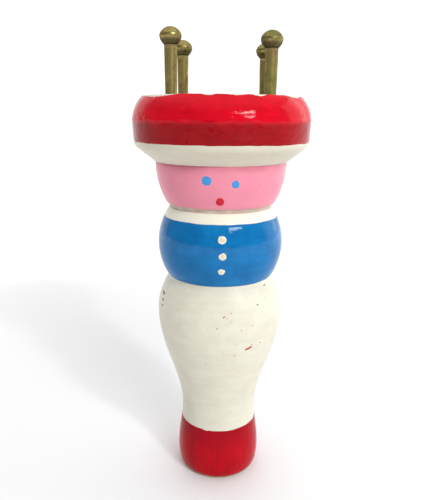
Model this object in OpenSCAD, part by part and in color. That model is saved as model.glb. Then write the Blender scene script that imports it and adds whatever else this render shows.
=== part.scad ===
// Knitting doll: a lathe-turned wooden body with a bore right through it, and four brass pins
// driven into the top of the hat. Yarn is looped over the pins and the knitted cord
// comes out of the bore at the shoes. Millimetres, +Z up, origin at the centre of the base.
// The body is one piece of wood; its sections are separate modules only because each has its own paint.

/* [Shoes and trousers] */
// Radius of the flat face that the doll stands on
base_r = 8.7; // [7:0.1:12]
// Radius of the shoes at their widest
shoe_r = 10; // [8.5:0.1:14]
// Height of the shoes' widest place above the base
shoe_wide_z = 5; // [3:0.5:8]
// Height of the shoes, up to the paint line
shoe_h = 13.3; // [9:0.1:18]
// Radius of the ankles, the narrowest place of the body
ankle_r = 9; // [7.5:0.1:12]
// Height of the ankles above the base
ankle_z = 16; // [14:0.5:22]
// Radius of the ball that the top of the trousers is turned to
hip_r = 14.7; // [12:0.1:18]
// Height of that ball's centre above the ankles
hip_rise = 26; // [20:0.5:32]

/* [Jacket and collar] */
// Radius of the ball that the jacket and the collar are turned to
jacket_r = 14.4; // [12:0.1:18]
// Height of the jacket ball's centre above the hip ball's centre
jacket_rise = 16.6; // [13:0.1:20]
// Height of the collar's paint line above the jacket ball's centre
collar_line = 6.5; // [4:0.1:8]
// Height of the collar's flat top above the jacket ball's centre
collar_top = 8.4; // [7:0.1:10]

/* [Face] */
// Width of the groove cut between the collar and the face
neck_groove_w = 0.8; // [0.3:0.1:1.5]
// Depth of that groove below the collar's top edge
neck_groove_depth = 0.6; // [0.2:0.1:1.5]
// Radius of the face at its top, under the hat
face_r = 14.8; // [12.5:0.1:16]
// Radius of the curve that the face narrows with, down to the groove
face_curve_r = 19; // [16:0.5:40]
// Height of the face, from the neck groove up to the hat
face_h = 9.4; // [7:0.1:14]

/* [Hat] */
// Radius of the hat at its widest
hat_r = 19.7; // [17:0.1:26]
// Radius of the hat's rounded shoulder, above its widest place
hat_side_r = 7.5; // [6:0.1:11]
// Height of the hat above its widest place
hat_above = 5.3; // [4:0.1:6]
// Height of the hat below its widest place
hat_below = 8.5; // [7:0.1:12]
// How far the brim's slanted underside starts outside the face
brim_overhang = 0.3; // [0.1:0.1:0.5]
// How far the brim's corner lies inside the hat's widest radius
brim_inset = 0.2; // [0:0.1:0.4]
// Height of the brim's slanted underside
brim_h = 3.4; // [2.6:0.1:5]
// Radius that the brim's corner is rounded with
brim_round = 2; // [0.4:0.1:3]
// Height of the hat's paint line below its widest place
hat_line = 4.8; // [3:0.1:6]

/* [Bore] */
// Diameter of the bore through the whole body
bore_d = 11; // [8:0.1:13.5]
// Chamfer around the bore's mouth in the hat
mouth_chamfer = 1.5; // [0.5:0.1:3]
// Chamfer around the bore's outlet in the base
outlet_chamfer = 0.6; // [0.2:0.1:1.2]

/* [Pins] */
// Distance of the pins' middles from the edge of the hat's flat top
pin_inset = 3.5; // [2.5:0.1:7]
// Height of the two tall pins above the hat
pin_stand = 13.1; // [10:0.1:20]
// How much deeper the other two pins are driven in
low_pin_drop = 0.6; // [0:0.1:1.5]
// Depth of the tall pins in the wood
pin_depth = 9; // [6:0.5:12]
// Diameter of a pin's shank in the wood
pin_d = 2.4; // [1.6:0.1:3.2]
// Diameter of a pin's shaft just under its head
pin_neck_d = 2.65; // [1.6:0.05:3.4]
// Diameter of a pin's head
pin_head_d = 4.5; // [3.4:0.1:6]
// Height of the head's domed top
pin_dome_h = 1.6; // [0.8:0.1:2.2]
// Length of the point at a shank's lower end
pin_point_h = 2; // [1:0.5:4]

/* [Hidden] */
$fn = 180;

// Steps along each curved stretch of an outline
curve_steps = 16;
// Free depth left under a pin's point in its drilled hole
pin_hole_spare = 0.4;
// Diameter of the blunt end of a pin's point
pin_tip_d = 0.6;
// Angle of a drill's tip, across the cone
drill_tip_angle = 118;
// A cut runs this far past the face that it opens
past = 1;

// Heights of the turned sections above the base, from the shoes up
hip_z = ankle_z + hip_rise;
jacket_z = hip_z + jacket_rise;
// The hip ball and the jacket ball meet in a V at this height
waist_z = hip_z + (pow(jacket_rise, 2) + pow(hip_r, 2) - pow(jacket_r, 2)) / (2 * jacket_rise);
collar_line_z = jacket_z + collar_line;
collar_top_z = jacket_z + collar_top;
face_low_z = collar_top_z + neck_groove_w;
hat_low_z = face_low_z + face_h;
hat_wide_z = hat_low_z + hat_below;
brim_r = face_r + brim_overhang;
brim_corner_r = hat_r - brim_inset;
brim_corner_z = hat_low_z + brim_h;
hat_line_z = hat_wide_z - hat_line;
body_h = hat_wide_z + hat_above;
neck_groove_r = sqrt(pow(jacket_r, 2) - pow(collar_top, 2)) - neck_groove_depth;
hat_top_r = hat_r - hat_side_r + sqrt(pow(hat_side_r, 2) - pow(hat_above, 2));
pin_circle_r = hat_top_r - pin_inset;

RED = "firebrick";
IVORY = "ivory";
PINK = "lightpink";
BLUE = "steelblue";
BRASS = "darkgoldenrod";

// Share of the way from 0 to 1, eased at both ends, so that a curve leaves and arrives upright
function eased(share) = (1 - cos(180 * share)) / 2;

// Outline points [radius, height] of a smooth swell between two radii
function swell(low_r, low_z, high_r, high_z) = [
    for (i = [0 : curve_steps])
        let (share = i / curve_steps)
        [low_r + (high_r - low_r) * eased(share), low_z + (high_z - low_z) * share]
];

// Outline points [radius, height] of an arc about a centre, from one angle to another
function arc(centre_r, centre_z, arc_r, from, to) = [
    for (i = [0 : curve_steps])
        let (angle = from + (to - from) * i / curve_steps)
        [centre_r + arc_r * cos(angle), centre_z + arc_r * sin(angle)]
];

// Outline points of the shoes' rounded lower edge, a quarter of an ellipse
shoe_edge = [
    for (i = [0 : curve_steps - 1])
        let (angle = 90 * i / curve_steps)
        [base_r + (shoe_r - base_r) * sin(angle), shoe_wide_z * (1 - cos(angle))]
];

// The outline from the base up to the hip ball's widest place, which shoes and trousers share
leg_outline = concat(
    [[0, 0]],
    shoe_edge,
    swell(shoe_r, shoe_wide_z, ankle_r, ankle_z),
    swell(ankle_r, ankle_z, hip_r, hip_z),
    [[0, hip_z]]
);

// The outline of the face, which curves in towards the groove
face_outline = concat(
    [[0, face_low_z]],
    arc(face_r - face_curve_r, hat_low_z, face_curve_r, -asin(face_h / face_curve_r), 0),
    [[0, hat_low_z]]
);

// The outline of the hat: a slanted underside, a rounded corner, a nearly upright side
// and a rounded shoulder. The faces that meet at the corner are given by the angle that they look at.
underside_look = -atan((brim_corner_r - brim_r) / brim_h);
side_look = -atan((hat_r - brim_corner_r) / (hat_wide_z - brim_corner_z));
corner_look = (underside_look + side_look) / 2;
corner_reach = brim_round / cos((side_look - underside_look) / 2);
hat_outline = concat(
    [[0, hat_low_z], [brim_r, hat_low_z]],
    arc(
        brim_corner_r - corner_reach * cos(corner_look),
        brim_corner_z - corner_reach * sin(corner_look),
        brim_round, underside_look, side_look
    ),
    arc(hat_r - hat_side_r, hat_wide_z, hat_side_r, 0, asin(hat_above / hat_side_r)),
    [[0, body_h]]
);

// A slab of everything between two heights
module slab(low_z, high_z) {
    translate([0, 0, low_z]) cylinder(r = 2 * hat_r, h = high_z - low_z);
}

// The part of a ball on the axis that lies between two heights
module ball_slice(ball_r, ball_z, low_z, high_z) {
    intersection() {
        translate([0, 0, ball_z]) sphere(r = ball_r);
        slab(low_z, high_z);
    }
}

// The part of an outline's turning that lies between two heights
module turned(outline, low_z, high_z) {
    intersection() {
        rotate_extrude() polygon(outline);
        slab(low_z, high_z);
    }
}

module shoes() {
    color(RED) turned(leg_outline, 0, shoe_h);
}

// The hip ball runs on a little way inside the jacket, so that the two are one piece of wood
module trousers() {
    color(IVORY) turned(leg_outline, shoe_h, hip_z);
    color(IVORY) ball_slice(hip_r, hip_z, hip_z, waist_z + past);
}

module jacket() {
    color(BLUE) ball_slice(jacket_r, jacket_z, waist_z, collar_line_z);
}

module collar() {
    color(IVORY) ball_slice(jacket_r, jacket_z, collar_line_z, collar_top_z);
}

// The floor of the groove is a core that runs a little way into the collar and the face
module neck_groove() {
    color(IVORY) translate([0, 0, collar_top_z - past])
        cylinder(r = neck_groove_r, h = neck_groove_w + 2 * past);
}

module face() {
    color(PINK) rotate_extrude() polygon(face_outline);
}

module hat() {
    color(IVORY) turned(hat_outline, hat_low_z, hat_line_z);
    color(RED) turned(hat_outline, hat_line_z, body_h);
}

// The bore that the knitted cord passes through, with a chamfer at each end
module bore() {
    bore_r = bore_d / 2;
    translate([0, 0, -past]) cylinder(r = bore_r, h = body_h + 2 * past);
    translate([0, 0, body_h - mouth_chamfer])
        cylinder(r1 = bore_r, r2 = bore_r + mouth_chamfer + past, h = mouth_chamfer + past);
    translate([0, 0, -past])
        cylinder(r1 = bore_r + outlet_chamfer + past, r2 = bore_r, h = outlet_chamfer + past);
}

// Each pin's place around the bore, in degrees, and how much lower it stands.
// They are set by eye, so they are a degree or three off a square.
PIN_ANGLES = [222, 314, 131, 43];
PIN_DROPS = [0, low_pin_drop, 0, low_pin_drop];

// Puts its children on the hat's top face at one pin's place
module at_pin(i) {
    angle = PIN_ANGLES[i];
    translate([pin_circle_r * cos(angle), pin_circle_r * sin(angle), body_h]) children();
}

// The drilled hole that a pin's shank fills, with the drill's cone at its end
module pin_hole(i) {
    depth = pin_depth + PIN_DROPS[i] + pin_hole_spare;
    tip_h = pin_d / 2 / tan(drill_tip_angle / 2);
    at_pin(i) {
        translate([0, 0, -depth]) cylinder(d = pin_d, h = depth + past);
        translate([0, 0, -depth - tip_h]) cylinder(d1 = 0, d2 = pin_d, h = tip_h);
    }
}

module body() {
    difference() {
        union() {
            shoes();
            trousers();
            jacket();
            collar();
            neck_groove();
            face();
            hat();
        }
        bore();
        for (i = [0 : 3]) pin_hole(i);
    }
}

// A brass pin from its point to its dome: the shank is straight in the wood and the shaft
// swells a little towards the head, which is half a ball below its edge and a flatter dome above
module pin(i) {
    stand = pin_stand - PIN_DROPS[i];
    depth = pin_depth + PIN_DROPS[i];
    head_r = pin_head_d / 2;
    edge_z = stand - pin_dome_h;
    neck_z = edge_z - sqrt(pow(head_r, 2) - pow(pin_neck_d / 2, 2));
    // The dome is a slice of a larger ball, through the head's edge and its top
    dome_r = (pow(head_r, 2) + pow(pin_dome_h, 2)) / (2 * pin_dome_h);
    color(BRASS) at_pin(i) union() {
        translate([0, 0, -depth]) cylinder(d1 = pin_tip_d, d2 = pin_d, h = pin_point_h);
        translate([0, 0, pin_point_h - depth]) cylinder(d = pin_d, h = depth - pin_point_h);
        cylinder(d1 = pin_d, d2 = pin_neck_d, h = neck_z);
        ball_slice(head_r, edge_z, neck_z, edge_z);
        ball_slice(dome_r, stand - dome_r, edge_z, stand);
    }
}

module pin_front_left() pin(0);
module pin_front_right() pin(1);
module pin_back_left() pin(2);
module pin_back_right() pin(3);

body();
pin_front_left();
pin_front_right();
pin_back_left();
pin_back_right();
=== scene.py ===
# %% [markdown]
# # A painted knitting doll
#
# A knitting doll is one piece of turned wood with a hole down its middle and four brass pins on its hat.
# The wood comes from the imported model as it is. What is made here is what a painter adds to it: an ivory
# coat all over, coloured coats on top of it, and six painted dots. The pins are turned again from their own
# outline, with softer rims on their heads.

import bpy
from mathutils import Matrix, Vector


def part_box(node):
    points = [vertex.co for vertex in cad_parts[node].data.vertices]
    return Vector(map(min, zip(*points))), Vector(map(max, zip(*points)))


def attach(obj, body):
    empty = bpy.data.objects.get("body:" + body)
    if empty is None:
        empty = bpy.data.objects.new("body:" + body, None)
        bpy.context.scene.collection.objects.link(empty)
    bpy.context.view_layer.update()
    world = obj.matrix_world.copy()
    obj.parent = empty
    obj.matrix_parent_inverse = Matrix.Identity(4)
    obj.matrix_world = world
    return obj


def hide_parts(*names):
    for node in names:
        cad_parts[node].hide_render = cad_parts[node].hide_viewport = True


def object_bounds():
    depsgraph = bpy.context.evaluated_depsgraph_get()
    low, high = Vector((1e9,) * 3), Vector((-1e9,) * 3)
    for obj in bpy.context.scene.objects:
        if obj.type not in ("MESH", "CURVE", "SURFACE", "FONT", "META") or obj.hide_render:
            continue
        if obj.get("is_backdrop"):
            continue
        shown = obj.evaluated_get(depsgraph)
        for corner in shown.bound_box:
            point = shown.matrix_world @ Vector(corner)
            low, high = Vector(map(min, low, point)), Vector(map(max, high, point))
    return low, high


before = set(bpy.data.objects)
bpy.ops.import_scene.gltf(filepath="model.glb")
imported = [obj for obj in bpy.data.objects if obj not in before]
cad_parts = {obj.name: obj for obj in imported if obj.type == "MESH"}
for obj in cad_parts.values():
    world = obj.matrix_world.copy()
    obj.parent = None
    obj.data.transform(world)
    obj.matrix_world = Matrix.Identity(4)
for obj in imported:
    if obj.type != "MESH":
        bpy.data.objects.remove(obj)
cad_box = [list(corner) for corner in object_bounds()]

# %% Tools and units
import math

import bpy
from mathutils import Vector, geometry, noise

MM = 0.001
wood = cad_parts["body"]
low_corner, high_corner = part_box("body")
hat_top = high_corner[2]
print("body is", round(hat_top / MM, 1), "mm tall")

# %% [markdown]
# ## The outline of the wood
#
# Everything on a lathe is an outline turned about one axis. The coats of paint could each have an outline
# typed in by hand, but then they would drift off the wood whenever it changes. It is safer to read the
# outline off the wood itself: the model has a seam of vertices in the half plane y = 0, x > 0.

# %% Read the outline
BORE_CLEAR = 8 * MM
ON_SEAM = 1e-6


def seam_points(node):
    """The outer (radius, height) points of a turned node, from the bottom up."""
    seam = {
        (round(v.co.x, 7), round(v.co.z, 7))
        for v in node.data.vertices
        if abs(v.co.y) < ON_SEAM and v.co.x > BORE_CLEAR
    }
    return sorted(seam, key=lambda point: point[1])


seam = seam_points(wood)
print(len(seam), "outline points from", seam[0], "to", seam[-1])

# %% [markdown]
# A flat ledge shows up as two points at one height: the collar's top, the face's lower edge and the
# underside of the hat. The waist is the narrowest place between the hips and the jacket. Those heights
# and three paint lines divide the doll into its sections.

# %% Heights of the sections
SAME_HEIGHT = 0.02 * MM
LEAST_LEDGE = 0.2 * MM
ledges = sorted({
    round(a[1], 6)
    for a, b in zip(seam, seam[1:])
    if abs(a[1] - b[1]) < SAME_HEIGHT and abs(a[0] - b[0]) > LEAST_LEDGE
})
collar_top, face_low, hat_low = ledges[0], ledges[1], ledges[2]
waist = min((p for p in seam if 0.4 * hat_top < p[1] < 0.65 * hat_top), key=lambda p: p[0])[1]
SHOE_LINE = 13.75 * MM
COLLAR_LINE = 65.1 * MM
HAT_LINE = 80.9 * MM
print("waist, collar, face, hat in mm:", [round(z / MM, 2) for z in (waist, collar_top, face_low, hat_low)])

# %% [markdown]
# The model's outline is a chain of short straight steps. A coat of paint flows over them, so each
# smooth stretch is redrawn as a curve through the same points. A Bezier segment between two neighbours,
# with handles along the line that joins the points on either side, does that without a bulge.

# %% Smooth a stretch of the outline
CURVE_POINTS = 9


def stretch(low, high):
    """The outline's own points between two heights, with the nearer one kept at each ledge."""
    inside = [p for p in seam if low + SAME_HEIGHT < p[1] < high - SAME_HEIGHT]

    def end(height, neighbour):
        near = [p for p in seam if abs(p[1] - height) <= SAME_HEIGHT]
        return min(near, key=lambda p: abs(p[0] - neighbour[0])) if near else None

    first, last = end(low, inside[0]), end(high, inside[-1])
    return [p for p in (first, *inside, last) if p]


def smooth(points, step):
    """Evenly spaced (radius, height) points on a smooth curve through the given ones."""
    path = [Vector((r, 0, z)) for r, z in points]
    curve = []
    for i in range(len(path) - 1):
        start, stop = path[i], path[i + 1]
        before, after = path[max(i - 1, 0)], path[min(i + 2, len(path) - 1)]
        reach = (stop - start).length / 3
        out_handle = start + (stop - before).normalized() * reach
        in_handle = stop - (after - start).normalized() * reach
        curve += geometry.interpolate_bezier(start, out_handle, in_handle, stop, CURVE_POINTS)[:-1]
    curve.append(path[-1])
    even, left = [curve[0]], step
    for a, b in zip(curve, curve[1:]):
        length = (b - a).length
        while left <= length and length > 0:
            even.append(a.lerp(b, left / length))
            left += step
        left -= length
    if (even[-1] - curve[-1]).length > step / 3:
        even.append(curve[-1])
    return [(p.x, p.z) for p in even]


def cut(points, low, high):
    """The part of an outline between two heights."""
    return [p for p in points if low <= p[1] <= high]


legs = smooth(stretch(low_corner[2], waist), 0.45 * MM)
chest = smooth(stretch(waist, collar_top), 0.4 * MM)
head = smooth(stretch(face_low, hat_low), 0.4 * MM)
hat = smooth(stretch(hat_low, hat_top), 0.3 * MM)
print("points in legs, chest, head, hat:", len(legs), len(chest), len(head), len(hat))

# %% [markdown]
# ## A coat of paint
#
# Paint is a thin skin with a rounded edge. It could be a colour in a material, but then its edge would
# have no thickness to catch the light. So each coat is a closed shell: its outer side stands a tenth of a
# millimetre off the wood, thins to nothing at both ends, and its inner side is hidden in the wood.
# A profile is drawn by extruding one vertex from point to point, and spun about the axis.

# %% Offset an outline and close it
SUNK = 0.14 * MM
HIDDEN_STRIDE = 4


def offset(points, distances):
    """The outline moved outwards, point by point, at right angles to itself."""
    moved = []
    for i, (r, z) in enumerate(points):
        r0, z0 = points[max(i - 1, 0)]
        r1, z1 = points[min(i + 1, len(points) - 1)]
        length = math.hypot(r1 - r0, z1 - z0) or 1
        moved.append((r + (z1 - z0) / length * distances[i], z - (r1 - r0) / length * distances[i]))
    return moved


def film(points, thickness, edge):
    """How thick the coat is at each point: rounded down to nothing over the length of its edge."""
    along = [0]
    for a, b in zip(points, points[1:]):
        along.append(along[-1] + math.dist(a, b))
    near = [min(s, along[-1] - s) / edge for s in along]
    return [thickness * math.sqrt(1 - (1 - min(n, 1)) ** 2) for n in near]


def coat_profile(points, thickness, edge=0.5 * MM):
    """A closed profile: up the outer side of the coat and back down its hidden side."""
    outer = offset(points, film(points, thickness, edge))
    inner = offset(points, [-SUNK] * len(points))
    sparse = inner[:1] + inner[3:-3:HIDDEN_STRIDE] + inner[-1:]
    return outer + sparse[::-1] + outer[:1]


# %% Draw a profile and spin it


def deselect_all():
    bpy.ops.object.select_all(action="DESELECT")


WELD = 0.002 * MM


def turn(name, profile, steps, centre=(0, 0)):
    """A turned piece: the profile drawn to the right of the axis and spun about it."""
    deselect_all()
    bpy.ops.mesh.primitive_plane_add(size=MM)
    piece = bpy.context.object
    piece.name = piece.data.name = name
    bpy.ops.object.mode_set(mode="EDIT")
    bpy.ops.mesh.select_mode(type="VERT")
    bpy.ops.mesh.select_all(action="SELECT")
    bpy.ops.mesh.merge(type="CENTER")
    bpy.ops.transform.translate(value=(centre[0] + profile[0][0], centre[1], profile[0][1]))
    for (r0, z0), (r1, z1) in zip(profile, profile[1:]):
        bpy.ops.mesh.extrude_vertices_move(TRANSFORM_OT_translate={"value": (r1 - r0, 0, z1 - z0)})
    bpy.ops.mesh.select_all(action="SELECT")
    bpy.ops.mesh.spin(steps=steps, angle=2 * math.pi, center=(*centre, 0), axis=(0, 0, 1))
    bpy.ops.mesh.select_all(action="SELECT")
    bpy.ops.mesh.remove_doubles(threshold=WELD)
    bpy.ops.mesh.normals_make_consistent(inside=False)
    bpy.ops.object.mode_set(mode="OBJECT")
    bpy.ops.object.shade_smooth()
    print(name, len(piece.data.polygons), "faces")
    return piece


# %% [markdown]
# A brush never ends a coat on a perfect circle. Once a coat is spun, the vertices near its end are slid
# along the wood, by slow waves all the way round and by a few deeper chips. Sliding a point to another
# place on the same outline keeps it on the wood, which moving it straight up or down would not.

# %% A wandering edge
EDGE_ZONE = 2.6 * MM
CHIP_REACH = 1.4
RAGGED_LEAST, RAGGED_MORE, RAGGED_COUNT = 0.8, 0.35, 60


def wander(azimuth, seed, waves, chips):
    """How far the edge lies inside its line, in metres, at an azimuth in degrees. 0 is the front."""
    turn_angle = math.radians(azimuth)
    around = Vector((math.cos(turn_angle), math.sin(turn_angle), seed))
    inset = sum(size * (noise.noise(around * count) * 0.5 + 0.5) for count, size in waves)
    for place, width, depth in chips:
        away = abs((azimuth - place + 180) % 360 - 180) / (width / 2)
        if away < CHIP_REACH:
            ragged = RAGGED_LEAST + RAGGED_MORE * noise.noise(around * RAGGED_COUNT)
            inset += depth * ragged * (1 - min(away / CHIP_REACH, 1) ** 2) ** 1.5
    return inset


def slide_edge(piece, points, top, seed, waves, chips=()):
    """Slides the vertices near the coat's upper or lower end along the outline, by the wander there."""
    lengths, ways = [0], []
    for a, b in zip(points, points[1:]):
        lengths.append(lengths[-1] + math.dist(a, b))
    for i in range(len(points)):
        a, b = points[max(i - 1, 0)], points[min(i + 1, len(points) - 1)]
        ways.append(((b[0] - a[0]) / math.dist(a, b), (b[1] - a[1]) / math.dist(a, b)))

    def place(distance, proud):
        """The (radius, height) at a distance along the outline and a height off it."""
        beyond = next((k for k, s in enumerate(lengths) if s > distance), len(points))
        i = max(0, min(len(points) - 2, beyond - 1))
        part = max(0, min(1, (distance - lengths[i]) / (lengths[i + 1] - lengths[i])))
        r, z = (points[i][k] + (points[i + 1][k] - points[i][k]) * part for k in (0, 1))
        way_r, way_z = (ways[i][k] + (ways[i + 1][k] - ways[i][k]) * part for k in (0, 1))
        size = math.hypot(way_r, way_z)
        return r + way_z / size * proud, z - way_r / size * proud

    for vertex in piece.data.vertices:
        x, y, z = vertex.co
        radius = math.hypot(x, y)
        near = min(range(len(points)), key=lambda i: math.hypot(points[i][0] - radius, points[i][1] - z))
        step_r, step_z = radius - points[near][0], z - points[near][1]
        along = lengths[near] + step_r * ways[near][0] + step_z * ways[near][1]
        proud = step_r * ways[near][1] - step_z * ways[near][0]
        away = lengths[-1] - along if top else along
        if away < EDGE_ZONE:
            azimuth = math.degrees(math.atan2(x, -y))
            inset = wander(azimuth, seed, waves, chips) * (1 - max(away, 0) / EDGE_ZONE)
            new_r, new_z = place(along - inset if top else along + inset, proud)
            vertex.co = (x / radius * new_r, y / radius * new_r, new_z)


# %% [markdown]
# Enamel that was brushed on by hand dries with shallow waves. They hardly show in the colour, but they
# break up every reflection. A Displace modifier with a cloud texture makes them in the shape itself.

# %% Waves in the paint


def ripple(piece, size, depth, seed):
    """Shallow waves over a piece, of a size across and a depth from crest to trough."""
    clouds = bpy.data.textures.new(piece.name + "_waves", "CLOUDS")
    clouds.noise_scale = size
    clouds.noise_depth = 1
    clouds.noise_basis = "ORIGINAL_PERLIN"
    modifier = piece.modifiers.new("waves", "DISPLACE")
    modifier.texture = clouds
    modifier.texture_coords = "LOCAL"
    modifier.strength = depth
    modifier.mid_level = 0.5
    deselect_all()
    piece.select_set(True)
    bpy.context.view_layer.objects.active = piece
    bpy.ops.object.modifier_apply(modifier="waves")


# %% [markdown]
# Where a second coat overlaps a first, its edge dries as a low ridge. It is raised on the spun coat by
# pushing out the vertices near a height, by more or less as it goes round.

# %% A low ridge


def raise_ridge(piece, height, size, spread, waver, seed):
    """Pushes the outer side of a coat outwards along a wavy line at a height."""
    for vertex in piece.data.vertices:
        x, y, z = vertex.co
        radius = math.hypot(x, y)
        around = Vector((x / radius, y / radius, seed))
        line = height + waver * noise.noise(around * 5) + 0.4 * waver * noise.noise(around * 19)
        strength = size * (0.7 + 0.6 * noise.noise(around * 11)) * math.exp(-(((z - line) / spread) ** 2))
        if vertex.normal.x * x + vertex.normal.y * y > 0:
            vertex.co = (x * (1 + strength / radius), y * (1 + strength / radius), z)


# %% [markdown]
# ## The ivory coat
#
# The whole doll was first painted ivory, and the colours went on over that. The ivory shows at the
# trousers, the collar, the brim and the flat top of the hat. It stops at the mouth of the bore, where years
# of yarn have worn it back to the wood.

# %% The ivory coat
MOUTH_WEAR = 8.3 * MM
TOP_STEP = 0.6 * MM
IVORY_FILM = 0.06 * MM
top_edge_r = hat[-1][0]
top_steps = int((top_edge_r - MOUTH_WEAR) / TOP_STEP)
flat_top = [(top_edge_r - i * TOP_STEP, hat_top) for i in range(1, top_steps + 1)]
groove_r = min(p[0] for p in seam if collar_top - SAME_HEIGHT < p[1] < face_low + SAME_HEIGHT)
groove = [(groove_r, collar_top + 0.15 * MM), (groove_r, face_low - 0.15 * MM)]
ivory_line = cut(legs, SHOE_LINE - 1.2 * MM, waist) + chest[1:] + groove + head + hat + flat_top
ivory_coat = turn("ivory_coat", coat_profile(ivory_line, IVORY_FILM), 192)

# %% [markdown]
# ## The coloured coats
#
# Each coloured coat starts and ends at a paint line or at a ledge of the wood. The red of the hat ends
# raggedly at the top edge, where knocks have chipped it back to the ivory.

# %% The four coloured coats
COLOUR_FILM = 0.13 * MM
LINE_WAVES = [(2.3, 0.16 * MM), (9, 0.07 * MM)]
TOP_WAVES = [(1.7, 0.24 * MM), (7, 0.18 * MM), (23, 0.14 * MM)]
# azimuth and width in degrees, depth
HAT_CHIPS = [(-50, 34, 0.85 * MM), (-9, 7, 0.6 * MM), (9, 12, 0.4 * MM), (24, 9, 0.65 * MM),
             (57, 18, 0.85 * MM), (96, 8, 0.6 * MM), (128, 22, 0.9 * MM), (171, 6, 0.7 * MM),
             (205, 12, 1.0 * MM), (250, 9, 0.6 * MM), (278, 5, 0.8 * MM)]
SHOE_CHIPS = [(-19, 8, 0.25 * MM), (70, 12, 0.3 * MM), (160, 6, 0.3 * MM), (230, 20, 0.25 * MM)]

OVER_STEP = 0.15 * MM
over_top = [(top_edge_r - i * OVER_STEP, hat_top) for i in (1, 2, 3)]
red_line = cut(hat, HAT_LINE, hat_top) + over_top
red_hat_coat = turn("red_hat_coat", coat_profile(red_line, COLOUR_FILM), 360)
slide_edge(red_hat_coat, red_line, True, 3, TOP_WAVES, HAT_CHIPS)
slide_edge(red_hat_coat, red_line, False, 5, LINE_WAVES)
raise_ridge(red_hat_coat, 86.2 * MM, 0.1 * MM, 0.34 * MM, 0.5 * MM, 21)
ripple(red_hat_coat, 3.2 * MM, 0.12 * MM, 1)

pink_face_coat = turn("pink_face_coat", coat_profile(head, COLOUR_FILM), 240)
ripple(pink_face_coat, 5 * MM, 0.06 * MM, 2)

blue_line = cut(chest, waist, COLLAR_LINE)
blue_jacket_coat = turn("blue_jacket_coat", coat_profile(blue_line, COLOUR_FILM), 300)
slide_edge(blue_jacket_coat, blue_line, True, 7, LINE_WAVES)
slide_edge(blue_jacket_coat, blue_line, False, 8, LINE_WAVES)
ripple(blue_jacket_coat, 4 * MM, 0.06 * MM, 3)

shoe_line = cut(legs, 0.25 * MM, SHOE_LINE)
red_shoe_coat = turn("red_shoe_coat", coat_profile(shoe_line, COLOUR_FILM), 240)
slide_edge(red_shoe_coat, shoe_line, True, 11, LINE_WAVES, SHOE_CHIPS)
ripple(red_shoe_coat, 4 * MM, 0.06 * MM, 4)

# %% [markdown]
# ## Eyes, mouth and buttons
#
# These were dabbed on with a loaded brush, so each is a low dome of paint with an uneven rim. A dome is a
# sphere squashed nearly flat. It is then wrapped onto the doll: a point so far to the side of the middle
# and so far above it goes to that place on the turned surface, and its thickness stands off along the
# normal.

# %% Wrap a shape onto the doll
surface = [*legs, *chest[1:], *head, *hat]


def radius_at(z):
    """The doll's outer radius at a height, and how much it grows for each metre up."""
    for (r0, z0), (r1, z1) in zip(surface, surface[1:]):
        if z0 <= z <= z1 and z1 > z0:
            return r0 + (r1 - r0) * (z - z0) / (z1 - z0), (r1 - r0) / (z1 - z0)
    raise ValueError(f"no surface at {z}")


def on_surface(side, z, proud):
    """The point at a height and a distance to the right of the middle, standing proud of the wood."""
    radius, slope = radius_at(z)
    front = -math.sqrt(max(radius**2 - side**2, 0))
    normal = Vector((side / radius, front / radius, -slope)).normalized()
    return Vector((side, front, z)) + normal * proud


def dab(name, side, z, width, height, proud, tilt=0, ragged=0.05, segments=32, rings=12):
    """A low dome of paint on the front of the doll, centred at (side, z). The sizes are in metres."""
    deselect_all()
    bpy.ops.mesh.primitive_uv_sphere_add(radius=1, segments=segments, ring_count=rings)
    piece = bpy.context.object
    piece.name = piece.data.name = name
    bpy.ops.object.mode_set(mode="EDIT")
    bpy.ops.mesh.select_all(action="SELECT")
    bpy.ops.transform.resize(value=(width / 2, height / 2, proud))
    bpy.ops.object.mode_set(mode="OBJECT")
    middle = piece.data.attributes.new("middle", "FLOAT", "POINT")
    turn_by = math.radians(tilt)
    for i, vertex in enumerate(piece.data.vertices):
        u, v, h = vertex.co
        middle.data[i].value = 1 - min(1, math.hypot(u / width, v / height) * 2)
        uneven = 1 + ragged * noise.noise(Vector((u / width * 3, v / height * 3, z * 1000 + side * 700)))
        across = (u * math.cos(turn_by) - v * math.sin(turn_by)) * uneven
        up = (u * math.sin(turn_by) + v * math.cos(turn_by)) * uneven
        vertex.co = on_surface(side + across, z + up, h)
    bpy.ops.object.shade_smooth()
    return piece


# %% The six dabs
DAB_PROUD = 0.24 * MM
left_eye = dab("left_eye", -3.0 * MM, 74.2 * MM, 2.45 * MM, 2.4 * MM, DAB_PROUD, ragged=0.12)
right_eye = dab("right_eye", 2.85 * MM, 73.5 * MM, 1.85 * MM, 1.9 * MM, DAB_PROUD, ragged=0.12)
mouth = dab("mouth", -0.25 * MM, 69.75 * MM, 2.1 * MM, 2.1 * MM, DAB_PROUD, ragged=0.12)
buttons = [
    dab("button_high", 0.25 * MM, 61.75 * MM, 2.1 * MM, 2.0 * MM, DAB_PROUD, ragged=0.15),
    dab("button_middle", 0.4 * MM, 58.25 * MM, 1.95 * MM, 1.85 * MM, DAB_PROUD, ragged=0.15),
    dab("button_low", 0.2 * MM, 54.8 * MM, 1.75 * MM, 1.65 * MM, DAB_PROUD, ragged=0.2),
]
print("dabs:", [piece.name for piece in (left_eye, right_eye, mouth, *buttons)])

# %% [markdown]
# Years in a toy box leave tiny spots of other paint on the trousers. A few are dabbed on one by one and
# joined into one piece for each colour, because they need the right places more than they need detail.

# %% Stray spots on the trousers


def join(name, parts):
    """Joins several meshes into one piece."""
    deselect_all()
    for part in parts:
        part.select_set(True)
    bpy.context.view_layer.objects.active = parts[0]
    bpy.ops.object.join()
    parts[0].name = parts[0].data.name = name
    return parts[0]


SPOT_PROUD = 0.12 * MM
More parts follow.
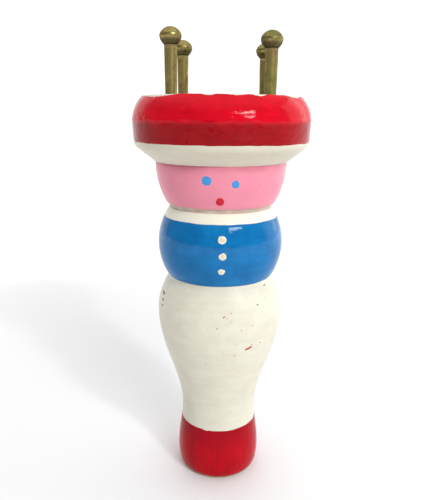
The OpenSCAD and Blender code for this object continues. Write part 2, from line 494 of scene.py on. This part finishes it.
# side, height, width, length, tilt: all in millimetres and degrees
RED_SPOTS = [
    (0.9, 44.7, 0.6, 0.32, 35), (1.5, 44.4, 0.3, 0.2, 0), (2.4, 45.5, 0.28, 0.3, -30),
    (4.7, 41.5, 0.26, 0.34, 10), (5.8, 40.4, 0.25, 0.2, 0), (9.2, 37.3, 0.32, 0.3, 0),
    (6.5, 36.6, 2.0, 0.7, 24), (7.2, 37.4, 0.5, 0.2, 30), (2.5, 43.6, 0.2, 0.2, 0),
    (3.3, 35.3, 0.26, 0.3, 0), (3.8, 37.9, 0.2, 0.22, 0), (7.2, 42.2, 0.2, 0.22, 0),
    (1.8, 39.7, 0.2, 0.2, 0), (-2.7, 41.9, 0.22, 0.2, 0),
]
BROWN_SPOTS = [
    (10.0, 49.8, 0.5, 0.35, 30), (-13.0, 46.9, 0.75, 0.8, 30), (-13.1, 45.5, 0.5, 0.7, 0),
    (-13.3, 44.2, 0.4, 0.5, 0), (-0.6, 42.1, 0.3, 0.35, 0), (8.3, 46.5, 0.35, 0.4, 0),
    (0.7, 35.9, 0.2, 0.2, 0), (-3.0, 33.0, 0.22, 0.25, 0), (4.5, 30.2, 0.22, 0.2, 20),
]
spots = {}
for name, places in (("red_spots", RED_SPOTS), ("brown_spots", BROWN_SPOTS)):
    parts = [
        dab(f"{name}_{i}", side * MM, z * MM, width * MM, length * MM, SPOT_PROUD, tilt,
            ragged=0.5, segments=12, rings=6)
        for i, (side, z, width, length, tilt) in enumerate(places)
    ]
    spots[name] = join(name, parts)
    print(name, len(places), "spots")

# %% [markdown]
# ## The brass pins
#
# A pin's head was struck in a die, so the dome and its underside meet in a rim that is soft, not sharp.
# The soft rim matters: it is the only part of the head that faces the window, so it carries the
# highlight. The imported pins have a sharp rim. One is therefore turned again from its own outline, and the
# ring of edges at its widest is bevelled.

# %% Turn and bevel one pin
RIM_BEVEL = 0.24 * MM
NECK_BEVEL = 0.12 * MM


def bevel_ring(piece, centre, radius, z, width, segments):
    """Bevels the ring of edges at a radius and height."""
    deselect_all()
    piece.select_set(True)
    bpy.context.view_layer.objects.active = piece
    bpy.ops.object.mode_set(mode="EDIT")
    bpy.ops.mesh.select_all(action="DESELECT")
    bpy.ops.object.mode_set(mode="OBJECT")

    def on_ring(index):
        x, y, height = piece.data.vertices[index].co
        out = math.hypot(x - centre[0], y - centre[1])
        return abs(height - z) < SAME_HEIGHT and abs(out - radius) < SAME_HEIGHT

    for edge in piece.data.edges:
        edge.select = all(on_ring(i) for i in edge.vertices)
    ring = sum(edge.select for edge in piece.data.edges)
    bpy.ops.object.mode_set(mode="EDIT")
    bpy.ops.mesh.select_mode(type="EDGE")
    bpy.ops.mesh.bevel(offset=width, segments=segments)
    bpy.ops.object.mode_set(mode="OBJECT")
    return ring


pin_names = [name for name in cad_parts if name.startswith("pin")]
low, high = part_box(pin_names[0])
centre = ((low[0] + high[0]) / 2, (low[1] + high[1]) / 2)
outline = {
    (round(math.hypot(v.co.x - centre[0], v.co.y - centre[1]), 5), round(v.co.z, 5))
    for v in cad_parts[pin_names[0]].data.vertices
}
outline = sorted(outline, key=lambda point: (point[1], point[0]))
if outline[0][0] > 0:
    outline.insert(0, (0, outline[0][1]))
outline[-1] = (0, outline[-1][1])
rim = max(outline)
neck = min(p for p in outline if rim[1] - 2.2 * MM < p[1] < rim[1] - 0.2 * MM)
first_pin = turn("brass_" + pin_names[0], outline, 64, centre)
ring = bevel_ring(first_pin, centre, *rim, RIM_BEVEL, 5)
bevel_ring(first_pin, centre, *neck, NECK_BEVEL, 2)
print(len(outline), "outline points, rim at", round(rim[1] / MM, 2), "bevelled", ring, "edges")

# %% [markdown]
# The other three are copies of the first, moved to their own holes. The two on the right were hit once more
# with the hammer and stand lower. Each copy has its own mesh, so each can have its own shallow dents.

# %% Copy the pin and dent each one
pins = {pin_names[0]: first_pin}
for name in pin_names[1:]:
    deselect_all()
    first_pin.select_set(True)
    bpy.context.view_layer.objects.active = first_pin
    bpy.ops.object.duplicate(linked=False)
    pin = bpy.context.object
    pin.name = pin.data.name = "brass_" + name
    own_low, own_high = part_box(name)
    own_centre = ((own_low[0] + own_high[0]) / 2, (own_low[1] + own_high[1]) / 2)
    shift = (own_centre[0] - centre[0], own_centre[1] - centre[1], own_high[2] - high[2])
    bpy.ops.transform.translate(value=shift)
    bpy.ops.object.transform_apply(location=True, rotation=False, scale=False)
    pins[name] = pin
    point_off = (own_low[2] - low[2] - shift[2]) / MM
    print(name, "moved by", [round(part / MM, 2) for part in shift], "mm, point off by", round(point_off, 3))

for number, pin in enumerate(pins.values()):
    ripple(pin, 1.6 * MM, 0.07 * MM, number)
    deselect_all()
    pin.select_set(True)
    bpy.context.view_layer.objects.active = pin
    bpy.ops.object.shade_smooth_by_angle(angle=math.radians(42))
print(len(pins), "pins")

# %% [markdown]
# ## Finishes shared by several materials
#
# The same few habits of old brushed enamel show in every colour: brush marks that run round the doll, a
# skin like orange peel, dust that dried into it and dirt from hands. Each is one node group with named
# inputs, so that each colour can have its own share of it. All read Object coordinates in metres.

# %% Helpers for nodes


def rgb(red, green, blue):
    """A linear colour from the 0 to 255 values of a colour chart."""
    def linear(value):
        value /= 255
        return value / 12.92 if value <= 0.04045 else ((value + 0.055) / 1.055) ** 2.4
    return (linear(red), linear(green), linear(blue), 1)


def node(tree, kind, inputs=None, **settings):
    """Adds a node, sets its properties, and gives each listed input a value or a link."""
    made = tree.nodes.new(kind)
    for key, value in settings.items():
        setattr(made, key, value)
    for key, value in (inputs or {}).items():
        if isinstance(value, bpy.types.NodeSocket):
            tree.links.new(value, made.inputs[key])
        else:
            made.inputs[key].default_value = value
    return made


def maths(tree, operation, a, b=0.0, clamp=False):
    return node(tree, "ShaderNodeMath", {0: a, 1: b}, operation=operation, use_clamp=clamp).outputs[0]


def mix(tree, mask, first, second, blend="MIX"):
    colours = {0: mask, 6: first, 7: second}
    return node(tree, "ShaderNodeMix", colours, data_type="RGBA", blend_type=blend).outputs[2]


def between(tree, value, low, high, to_low=0.0, to_high=1.0):
    """Maps a value smoothly from one range to another."""
    ends = {0: value, 1: low, 2: high, 3: to_low, 4: to_high}
    return node(tree, "ShaderNodeMapRange", ends, interpolation_type="SMOOTHSTEP").outputs[0]


def place_on(tree):
    """Where a point lies on the doll, and how high."""
    place = node(tree, "ShaderNodeTexCoord").outputs["Object"]
    return place, node(tree, "ShaderNodeSeparateXYZ", {0: place}).outputs[2]


def speckle(tree, place, scale=1.0, detail=2.0, roughness=0.5, stretched=None):
    """A noise between 0 and 1, drawn out along an axis where it is given a stretch."""
    if stretched is not None:
        place = node(tree, "ShaderNodeMapping", {"Vector": place, "Scale": stretched}).outputs[0]
    inputs = {"Vector": place, "Scale": scale, "Detail": detail, "Roughness": roughness}
    return node(tree, "ShaderNodeTexNoise", inputs).outputs[0]


def new_group(name, inputs, outputs):
    """An empty shader node group with named float inputs and named outputs."""
    tree = bpy.data.node_groups.new(name, "ShaderNodeTree")
    for socket, default in inputs.items():
        made = tree.interface.new_socket(socket, in_out="INPUT", socket_type="NodeSocketFloat")
        made.default_value = default
    for socket in outputs:
        tree.interface.new_socket(socket, in_out="OUTPUT", socket_type="NodeSocketFloat")
    start = tree.nodes.new("NodeGroupInput")
    end = tree.nodes.new("NodeGroupOutput")
    place = tree.nodes.new("ShaderNodeTexCoord").outputs["Object"]
    return tree, start.outputs, end.inputs, place


def use(tree, group, inputs=None, **named):
    """Places a group in a material."""
    made = tree.nodes.new("ShaderNodeGroup")
    made.node_tree = group
    for key, value in {**(inputs or {}), **named}.items():
        made.inputs[key].default_value = value
    return made.outputs


# %% Brush marks
MARK_INPUTS = {"Length": 110.0, "Fineness": 700.0}
brush_marks, given, result, place = new_group("brush_marks", MARK_INPUTS, ["Marks", "Patches"])
axes = {0: given["Length"], 1: given["Length"], 2: given["Fineness"]}
scale = node(brush_marks, "ShaderNodeCombineXYZ", axes).outputs[0]
bristles = speckle(brush_marks, place, detail=3.0, roughness=0.6, stretched=scale)
loads = speckle(brush_marks, place, 210.0, 6.0, 0.65)
brush_marks.links.new(between(brush_marks, bristles, 0.3, 0.7), result["Marks"])
brush_marks.links.new(between(brush_marks, loads, 0.28, 0.74), result["Patches"])
print(brush_marks.name, len(brush_marks.nodes), "nodes")

# %% Orange peel
PEEL_INPUTS = {"Pitch": 900.0, "Swell": 260.0, "Swell Share": 0.6}
orange_peel, given, result, place = new_group("orange_peel", PEEL_INPUTS, ["Height"])
pimples = speckle(orange_peel, place, given["Pitch"])
swelling = {"Vector": place, "Scale": given["Swell"], "Detail": 1.0, "Distortion": 0.8}
flow = node(orange_peel, "ShaderNodeTexNoise", swelling).outputs[0]
share = maths(orange_peel, "MULTIPLY", flow, given["Swell Share"])
rest = maths(orange_peel, "MULTIPLY", pimples, maths(orange_peel, "SUBTRACT", 1.0, given["Swell Share"]))
orange_peel.links.new(maths(orange_peel, "ADD", share, rest), result["Height"])
print(orange_peel.name, len(orange_peel.nodes), "nodes")

# %% Dried-in dust and small pits
DUST_INPUTS = {"Pitch": 500.0, "Size": 0.12, "Amount": 0.08}
dust, given, result, place = new_group("dust", DUST_INPUTS, ["Mask", "Height"])
cells = node(dust, "ShaderNodeTexVoronoi", {"Vector": place, "Scale": given["Pitch"]})
lot = node(dust, "ShaderNodeSeparateColor", {0: cells.outputs["Color"]}).outputs[0]
chosen = maths(dust, "LESS_THAN", lot, given["Amount"])
from_middle = maths(dust, "DIVIDE", cells.outputs["Distance"], given["Size"])
grain = maths(dust, "SUBTRACT", 1.0, from_middle, clamp=True)
bump = maths(dust, "MULTIPLY", maths(dust, "POWER", grain, 0.5), chosen)
dust.links.new(maths(dust, "MULTIPLY", maths(dust, "GREATER_THAN", grain, 0.25), chosen), result["Mask"])
dust.links.new(bump, result["Height"])
print(dust.name, len(dust.nodes), "nodes")

# %% Dirt from hands
grime, given, result, place = new_group("grime", {"Pitch": 90.0, "Amount": 0.35}, ["Mask"])
cloud = speckle(grime, place, given["Pitch"], 5.0, 0.65)
smear = maths(grime, "MULTIPLY", maths(grime, "SUBTRACT", speckle(grime, place, 700.0, 3.0), 0.5), 0.25)
edge_of_dirt = maths(grime, "SUBTRACT", 0.75, maths(grime, "MULTIPLY", given["Amount"], 0.5))
grime.links.new(between(grime, maths(grime, "ADD", cloud, smear), edge_of_dirt, 0.85), result["Mask"])
print(grime.name, len(grime.nodes), "nodes")

# %% [markdown]
# ## The enamels
#
# All the enamels are one recipe with other numbers: a colour that is thinner where the brush was drier, a
# shine that changes in patches, dirt on top, and a bump. The colour, its shade, the shine and the shares of
# dirt and dust are what differ. The gloss level is half the usual or less, as old enamel has lost some.

# %% The recipe


BUMP_DEPTH = 0.3 * MM


def enamel(
    name, colour, shade, dirt, marks=0.5, dirt_share=0.4, dust_share=0.05, shine=(0.16, 0.34),
    peel=0.12, gloss=0.25, grit=0.5, pitch=500.0, fine=900.0, swell=0.6,
):
    """A brushed gloss enamel. Returns the material, its tree, its shader and its colour socket.

    marks, dirt_share and dust_share say how much of each shows, shine is the least and the most roughness,
    peel and grit the strength of the bump and of the dust in it, pitch and fine how closely dust and peel
    repeat, and swell how much of the peel is its broad waves.
    """
    material = bpy.data.materials.new(name)
    material.use_nodes = True
    tree = material.node_tree
    shader = tree.nodes["Principled BSDF"]
    strokes = use(tree, brush_marks)
    peel_height = use(tree, orange_peel, {"Swell Share": swell}, Pitch=fine)["Height"]
    dust_out = use(tree, dust, Amount=dust_share, Pitch=pitch)
    dirt_mask = use(tree, grime, Amount=dirt_share)["Mask"]
    brushed = maths(tree, "ADD", maths(tree, "MULTIPLY", strokes["Marks"], 0.6), strokes["Patches"])
    thin = maths(tree, "MULTIPLY", brushed, marks * 0.62)
    painted = mix(tree, thin, colour, shade)
    dusty = mix(tree, maths(tree, "MULTIPLY", dust_out["Mask"], 0.35), painted, dirt)
    dirty = mix(tree, maths(tree, "MULTIPLY", dirt_mask, dirt_share), dusty, dirt)
    tree.links.new(dirty, shader.inputs["Base Color"])
    rough = between(tree, maths(tree, "ADD", strokes["Patches"], dirt_mask), 0.0, 1.6, *shine)
    tree.links.new(rough, shader.inputs["Roughness"])
    height = maths(tree, "ADD", peel_height, maths(tree, "MULTIPLY", dust_out["Height"], grit))
    bump = node(tree, "ShaderNodeBump", {"Strength": peel, "Distance": BUMP_DEPTH, "Height": height})
    tree.links.new(bump.outputs[0], shader.inputs["Normal"])
    shader.inputs["Specular IOR Level"].default_value = gloss
    print(name, len(tree.nodes), "nodes")
    return material, tree, shader, dirty


# %% The colours
DIRT = rgb(112, 96, 74)
ivory_enamel, ivory_tree, ivory_shader, ivory_colour = enamel(
    "ivory_enamel", rgb(229, 226, 209), rgb(206, 200, 181), DIRT,
    marks=0.6, dirt_share=0.26, dust_share=0.14, shine=(0.34, 0.5), peel=0.22, fine=1300.0,
)
pink_enamel, pink_tree, pink_shader, pink_colour = enamel(
    "pink_enamel", rgb(230, 141, 160), rgb(216, 124, 143), DIRT,
    marks=0.55, dirt_share=0.2, dust_share=0.1, shine=(0.28, 0.44), fine=1300.0,
)
blue_enamel = enamel(
    "blue_enamel", rgb(20, 120, 184), rgb(12, 94, 150), rgb(34, 76, 96),
    marks=0.9, dirt_share=0.3, dust_share=0.1, shine=(0.03, 0.1), peel=0.2, gloss=0.17, grit=1.2, fine=900.0,
)[0]
shoe_enamel, shoe_tree, shoe_shader, shoe_colour = enamel(
    "shoe_enamel", rgb(202, 8, 30), rgb(164, 6, 24), rgb(70, 8, 16),
    marks=0.7, dirt_share=0.35, shine=(0.14, 0.32), gloss=0.09,
)
eye_paint = enamel("eye_paint", rgb(64, 146, 208), rgb(52, 132, 200), DIRT, dirt_share=0.05)[0]
mouth_paint = enamel("mouth_paint", rgb(200, 24, 50), rgb(184, 20, 44), DIRT, dirt_share=0.05)[0]
red_splash = enamel("red_splash", rgb(196, 74, 58), rgb(176, 92, 76), DIRT, dirt_share=0.3)[0]
brown_splash = enamel("brown_splash", rgb(112, 106, 76), rgb(84, 76, 56), DIRT, dirt_share=0.3)[0]

# %% [markdown]
# The groove under the chin is mixed patchily with a greyish pink: painted shade, with some dirt where no
# cloth reaches it. The ivory just under the red of the hat is mixed with a little grey as painted shade. The
# collar, which faces up to the ceiling, is mixed with a whiter ivory as painted light.

# %% Painted shade and dirt in the groove, painted shade on the brim, painted light on the collar
tree = ivory_tree
place, height = place_on(tree)
# painted shade with some dirt: a patchy greyish pink in the groove under the chin
above = between(tree, height, collar_top - 0.25 * MM, collar_top + 0.05 * MM)
below = between(tree, height, face_low + 0.1 * MM, face_low + 0.4 * MM, 1.0, 0.0)
patchy = between(tree, speckle(tree, place, 420.0, 3.0), 0.25, 0.6, 0.45, 1.0)
groove_shade_and_dirt = maths(tree, "MULTIPLY", maths(tree, "MULTIPLY", above, below), patchy)
# painted shade: a little grey on the brim under the red of the hat
over_brim = between(tree, height, hat_low - 0.3 * MM, hat_low + 0.2 * MM)
under_top = between(tree, height, hat_top - 3 * MM, hat_top - 1 * MM, 1.0, 0.0)
brim_shade = maths(tree, "MULTIPLY", over_brim, under_top)
brim_shaded_ivory = mix(tree, maths(tree, "MULTIPLY", brim_shade, 0.4), ivory_colour, rgb(176, 166, 146))
# painted light: a whiter ivory on the collar, which faces up
over_line = between(tree, height, COLLAR_LINE - 1 * MM, COLLAR_LINE)
under_groove = between(tree, height, collar_top - 0.2 * MM, collar_top, 0.8, 0.0)
collar_light = maths(tree, "MULTIPLY", over_line, under_groove)
shaded_and_lit_ivory = mix(tree, collar_light, brim_shaded_ivory, rgb(242, 240, 224))
tree.links.new(mix(tree, groove_shade_and_dirt, shaded_and_lit_ivory, rgb(190, 164, 152)), ivory_shader.inputs["Base Color"])
print("ivory_enamel now has", len(tree.nodes), "nodes")

# %% [markdown]
# Two more places get a colour of their own. The face just under the brim is darkened patchily, as painted
# shade from the hat. The red of the shoes is thin enough to show the upright grain of the wood, and is
# darker towards its upper line.

# %% Under the brim, and on the shoes
tree = pink_tree
place, height = place_on(tree)
# painted shade from the hat: the face just under the brim is darkened patchily
patchy = between(tree, speckle(tree, place, 260.0, 4.0), 0.25, 0.7, 0.5, 1.0)
brim_shadow = maths(tree, "MULTIPLY", between(tree, height, hat_low - 2.2 * MM, hat_low, 0.0, 0.65), patchy)
tree.links.new(mix(tree, brim_shadow, pink_colour, rgb(176, 96, 110)), pink_shader.inputs["Base Color"])
print("pink_enamel now has", len(tree.nodes), "nodes")

tree = shoe_tree
place, height = place_on(tree)
upright = speckle(tree, place, detail=3.0, stretched=(1100, 1100, 60))
grain = between(tree, upright, 0.35, 0.75, 0.0, 0.4)
grained = mix(tree, grain, shoe_colour, rgb(140, 6, 22))
# the shoes are darker towards their upper line
darker_upwards = between(tree, height, 6 * MM, SHOE_LINE - 0.5 * MM, 0.0, 0.6)
tree.links.new(mix(tree, darker_upwards, grained, rgb(142, 8, 26)), shoe_shader.inputs["Base Color"])
print("shoe_enamel now has", len(tree.nodes), "nodes")

# %% [markdown]
# The hat's lower half is darkened as painted shade, below a slightly wavy line about halfway up. The
# recipe's colour is multiplied darker below a height that wanders a little, before it reaches the shader.

# %% The hat's painted shade
hat_enamel, tree, shader, hat_colour = enamel(
    "hat_enamel", rgb(216, 14, 36), rgb(178, 10, 28), rgb(110, 6, 20),
    marks=0.9, dirt_share=0.35, dust_share=0.14, shine=(0.03, 0.12), peel=0.34, gloss=0.11,
    grit=2.2, pitch=420.0, fine=950.0, swell=0.4,
)
place, height = place_on(tree)
waver = speckle(tree, place, 150.0)
SHADE_LINE_WAVER = 1.6 * MM
HAT_SHADE_LINE = 85.7 * MM
level = maths(tree, "ADD", height, maths(tree, "MULTIPLY", maths(tree, "SUBTRACT", waver, 0.5), SHADE_LINE_WAVER))
# painted shade: the hat's lower half is multiplied darker
lower = between(tree, level, HAT_SHADE_LINE - 0.7 * MM, HAT_SHADE_LINE + 0.7 * MM, 1.0, 0.0)
lower_half_shade = mix(tree, lower, (1, 1, 1, 1), rgb(188, 120, 150))
tree.links.new(mix(tree, 1.0, hat_colour, lower_half_shade, "MULTIPLY"), shader.inputs["Base Color"])
print("hat_enamel now has", len(tree.nodes), "nodes")

# %% [markdown]
# The buttons are ivory, but fingers have worn them through in the middle to the wood's tan. Each dab
# carries an attribute that is 1 in its middle and 0 at its rim, so the material knows where that is.

# %% Worn buttons
button_paint, tree, shader, button_colour = enamel(
    "button_paint", rgb(236, 230, 206), rgb(222, 214, 186), DIRT, dirt_share=0.3
)
middle = node(tree, "ShaderNodeAttribute", attribute_name="middle").outputs["Fac"]
patchy = speckle(tree, node(tree, "ShaderNodeTexCoord").outputs["Object"], 1500.0)
worn = between(tree, maths(tree, "ADD", middle, maths(tree, "MULTIPLY", patchy, 0.9)), 0.55, 1.3)
worn_colour = mix(tree, maths(tree, "MULTIPLY", worn, 0.4), button_colour, rgb(196, 172, 142))
tree.links.new(worn_colour, shader.inputs["Base Color"])
print("button_paint now has", len(tree.nodes), "nodes")

# %% [markdown]
# ## Bare beech
#
# Where there is no paint, in the bore, round its mouth and under the base, the wood is beech. Along the
# grain beech has short dark flecks on a pinkish tan. A fine noise stretched along the axis makes the
# fibres, long narrow cells make the flecks, and rings about a tree's heart, which lies outside the doll,
# make the year rings. Dirt from hands goes over all of it.

# %% Beech
beech = bpy.data.materials.new("beech")
beech.use_nodes = True
tree = beech.node_tree
shader = tree.nodes["Principled BSDF"]
place = node(tree, "ShaderNodeTexCoord").outputs["Object"]
fibres = speckle(tree, place, detail=3.0, stretched=(1800, 1800, 90))
fleck_place = node(tree, "ShaderNodeMapping", {"Vector": place, "Scale": (1500, 1500, 320)}).outputs[0]
flecks = node(tree, "ShaderNodeTexVoronoi", {"Vector": fleck_place, "Scale": 1.0}).outputs["Distance"]
heart_shift = {"Vector": place, "Location": (0.031, 0.012, 0), "Scale": (1, 1, 0.06)}
heart = node(tree, "ShaderNodeMapping", heart_shift).outputs[0]
growth = {"Vector": heart, "Scale": 130.0, "Distortion": 2.5, "Detail": 2.0}
rings = node(tree, "ShaderNodeTexWave", growth, wave_type="RINGS", rings_direction="Z").outputs[1]
tan = mix(tree, between(tree, fibres, 0.3, 0.7), rgb(206, 168, 124), rgb(176, 134, 94))
ringed = mix(tree, maths(tree, "MULTIPLY", rings, 0.35), tan, rgb(150, 108, 74))
flecked = mix(tree, between(tree, flecks, 0.0, 0.22, 0.45, 0.0), ringed, rgb(126, 84, 56))
handling = use(tree, grime, Amount=0.5)["Mask"]
used = mix(tree, maths(tree, "MULTIPLY", handling, 0.5), flecked, rgb(96, 70, 50))
tree.links.new(used, shader.inputs["Base Color"])
tree.links.new(between(tree, fibres, 0.2, 0.8, 0.5, 0.72), shader.inputs["Roughness"])
bump = node(tree, "ShaderNodeBump", {"Strength": 0.35, "Distance": 0.15 * MM, "Height": fibres})
tree.links.new(bump.outputs[0], shader.inputs["Normal"])
print("beech", len(tree.nodes), "nodes")

# %% [markdown]
# ## Old brass
#
# The pins are drawn brass that has gone olive and brown, with the yellow metal left where yarn rubs it.
# Tarnish is less metallic and less shiny than brass, so one mask moves the colour, the metal and the
# roughness together. Drawing the wire left fine lines along it, which noise stretched along the axis gives.
# Faces that look down, under the heads, are mixed darker as painted shade.

# %% Tarnished brass
brass = bpy.data.materials.new("tarnished_brass")
brass.use_nodes = True
tree = brass.node_tree
shader = tree.nodes["Principled BSDF"]
place = node(tree, "ShaderNodeTexCoord").outputs["Object"]
drawn = speckle(tree, place, detail=3.0, stretched=(4200, 4200, 160))
stains = speckle(tree, place, 380.0, 4.0, 0.6)
hues = speckle(tree, place, 210.0)
yellow = mix(tree, drawn, rgb(186, 170, 106), rgb(140, 126, 72))
tarnish = mix(tree, between(tree, hues, 0.38, 0.62), rgb(98, 98, 52), rgb(116, 90, 60))
cover = between(tree, maths(tree, "ADD", stains, maths(tree, "MULTIPLY", drawn, 0.25)), 0.4, 0.85)
aged = mix(tree, cover, yellow, tarnish)
pits = use(tree, dust, Pitch=1600.0, Size=0.3, Amount=0.12)
normal = node(tree, "ShaderNodeNewGeometry").outputs["Normal"]
facing = node(tree, "ShaderNodeSeparateXYZ", {0: normal}).outputs[2]
# painted shade: faces that look down, under the heads, are mixed darker
underside_shade = between(tree, facing, -0.5, -0.05, 0.75, 0.0)
shaded = mix(tree, underside_shade, aged, rgb(56, 50, 30))
pitted = mix(tree, maths(tree, "MULTIPLY", pits["Mask"], 0.5), shaded, rgb(58, 50, 32))
tree.links.new(pitted, shader.inputs["Base Color"])
tree.links.new(between(tree, cover, 0.0, 1.0, 0.9, 0.6), shader.inputs["Metallic"])
tree.links.new(between(tree, cover, 0.0, 1.0, 0.3, 0.46), shader.inputs["Roughness"])
shader.inputs["Specular Tint"].default_value = rgb(120, 112, 80)
shader.inputs["Coat Weight"].default_value = 0.12
shader.inputs["Coat Roughness"].default_value = 0.12
relief = maths(tree, "SUBTRACT", drawn, maths(tree, "MULTIPLY", pits["Height"], 0.8))
bump = node(tree, "ShaderNodeBump", {"Strength": 0.35, "Distance": 0.06 * MM, "Height": relief})
tree.links.new(bump.outputs[0], shader.inputs["Normal"])
print("tarnished_brass", len(tree.nodes), "nodes")

# %% [markdown]
# ## Put the finishes on
#
# A new piece gets its material and the body it moves with. The
# imported nodes keep their meshes and only change their material.

# %% Finishes and riding


def finish_piece(piece, material):
    piece.data.materials.clear()
    piece.data.materials.append(material)
    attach(piece, "root")


for piece, material, slot in (
    (ivory_coat, ivory_enamel, "ivory_paint"),
    (red_hat_coat, hat_enamel, "red_paint"),
    (pink_face_coat, pink_enamel, "pink_paint"),
    (blue_jacket_coat, blue_enamel, "blue_paint"),
    (red_shoe_coat, shoe_enamel, "red_paint"),
    (left_eye, eye_paint, "blue_paint"),
    (right_eye, eye_paint, "blue_paint"),
    (mouth, mouth_paint, "red_paint"),
    *((button, button_paint, "ivory_paint") for button in buttons),
    (spots["red_spots"], red_splash, "red_paint"),
    (spots["brown_spots"], brown_splash, "painted_wood"),
):
    finish_piece(piece, material)

for name, pin in pins.items():
    finish_piece(pin, brass)
    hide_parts(name)
for name, cad_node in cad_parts.items():
    for holder in cad_node.material_slots:
        holder.material = beech if name == "body" else brass
print("pieces finished")

# %% [markdown]
# ## Floor, light and camera
#
# The doll stands on a plain white table in a bright room. A window in front and to the right makes the
# highlight, and a small patch of sun in it the highlight's bright core. Both give the soft shadow behind and
# to the left. A pale wall on the right lifts that side.

# %% [markdown]
# A white table runs off into a white wall with no line between them. A curved sweep would do that, but from
# one side only. Here the table top gives off a little light of its own, more the further it is from the
# doll, so it meets the white of the room on every side.

# %% The table
deselect_all()
bpy.ops.mesh.primitive_circle_add(vertices=96, radius=3, fill_type="NGON")
floor = bpy.context.object
floor.name = floor.data.name = "floor"
paper = bpy.data.materials.new("white_table")
paper.use_nodes = True
tree = paper.node_tree
shader = tree.nodes["Principled BSDF"]
shader.inputs["Base Color"].default_value = (0.79, 0.79, 0.8, 1)
shader.inputs["Roughness"].default_value = 0.6
place = node(tree, "ShaderNodeTexCoord").outputs["Object"]
away = node(tree, "ShaderNodeVectorMath", {0: place}, operation="LENGTH").outputs["Value"]
glow = between(tree, away, 0.06, 0.45, 0.0, 0.6)
grey = node(tree, "ShaderNodeCombineColor", {0: glow, 1: glow, 2: glow}).outputs[0]
tree.links.new(grey, shader.inputs["Emission Color"])
shader.inputs["Emission Strength"].default_value = 1.0
floor.data.materials.append(paper)
floor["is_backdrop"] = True
print("floor made")

# %% The lights
TARGET = Vector((0, 0, 0.06))


def softbox(name, azimuth, elevation, distance, width, height, radiance):
    """An area light aimed at the doll. Its power follows from how bright its face looks."""
    a, e = math.radians(azimuth), math.radians(elevation)
    towards = Vector((math.sin(a) * math.cos(e), -math.cos(a) * math.cos(e), math.sin(e)))
    lamp = bpy.data.lights.new(name, "AREA")
    lamp.shape = "RECTANGLE"
    lamp.size, lamp.size_y = width, height
    lamp.energy = radiance * math.pi * width * height
    holder = bpy.data.objects.new(name, lamp)
    bpy.context.collection.objects.link(holder)
    holder.location = TARGET + towards * distance
    holder.rotation_euler = (-towards).to_track_quat("-Z", "Y").to_euler()
    print(name, round(lamp.energy, 2), "W")


softbox("window", 31, 30, 0.7, 0.28, 0.088, 23)
softbox("sun_patch", 36, 32, 0.7, 0.055, 0.02, 330)
softbox("side_wall", 112, 18, 0.9, 0.7, 0.6, 1.3)

# %% [markdown]
# The rest of the light comes from the room itself. It could be one flat white, but then the front of a
# glossy doll would mirror as much white as its sides do, and every colour would look milky. In a real room
# the wall behind the table and the ceiling are bright and the side where the maker stands is dim, so the
# world's brightness follows the direction. Seen directly it is white everywhere.

# %% The room
ROOM_FRONT, ROOM_SIDE, ROOM_BACK, ROOM_TOP = 0.1, 0.3, 1.15, 1.05
room = bpy.data.worlds.new("room")
bpy.context.scene.world = room
room.use_nodes = True
tree = room.node_tree
heading = node(tree, "ShaderNodeTexCoord").outputs["Generated"]
direction = node(tree, "ShaderNodeSeparateXYZ", {0: heading}).outputs
side = between(tree, direction[1], -0.6, 0.2, ROOM_FRONT, ROOM_SIDE)
wall = maths(tree, "ADD", side, between(tree, direction[1], 0.42, 0.56, 0.0, ROOM_BACK - ROOM_SIDE))
ceiling = between(tree, direction[2], 0.45, 0.95, 0.0, ROOM_TOP)
background = tree.nodes["Background"]
background.inputs["Color"].default_value = (1, 1, 1, 1)
seen = node(tree, "ShaderNodeLightPath").outputs["Is Camera Ray"]
lit = maths(tree, "ADD", wall, ceiling)
white = maths(tree, "MULTIPLY", seen, ROOM_BACK)
tree.links.new(maths(tree, "MAXIMUM", lit, white), background.inputs["Strength"])
print("room made")

# %% [markdown]
# The camera is close, about 12 cm from the doll's axis and a little below the top of the hat, so the doll
# tapers downwards and the hat's flat top can't be seen.

# %% The camera
LENS = 37.8
CAMERA_PLACE = (-1.2 * MM, -121 * MM, 87.2 * MM)
LOOKS_DOWN = 14.45
ROLL = 0.5
camera_data = bpy.data.cameras.new("camera")
camera_data.lens = LENS
camera_data.sensor_width = 36
camera_data.clip_start = 0.01
camera_data.clip_end = 20
camera = bpy.data.objects.new("camera", camera_data)
bpy.context.collection.objects.link(camera)
camera.location = CAMERA_PLACE
aim = Vector((0, math.cos(math.radians(LOOKS_DOWN)), -math.sin(math.radians(LOOKS_DOWN))))
turn_to = aim.to_track_quat("-Z", "Y")
camera.rotation_euler = turn_to.to_euler()
camera.rotation_euler.rotate_axis("Z", math.radians(ROLL))
bpy.context.scene.camera = camera
bpy.context.scene.view_settings.view_transform = "Standard"
print("camera at", [round(c, 4) for c in camera.location])

# %% [markdown]
# ## The size
#
# Paint is thin, so the painted doll should be as big as the bare one, within a fraction of a millimetre.
# The sizes of both boxes are printed side by side.

# %% Sizes and the end
visual_box = [list(corner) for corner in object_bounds()]
for i in range(3):
    bare, painted = (round((box[1][i] - box[0][i]) / MM, 2) for box in (cad_box, visual_box))
    print("xyz"[i], bare, "->", painted, "mm")
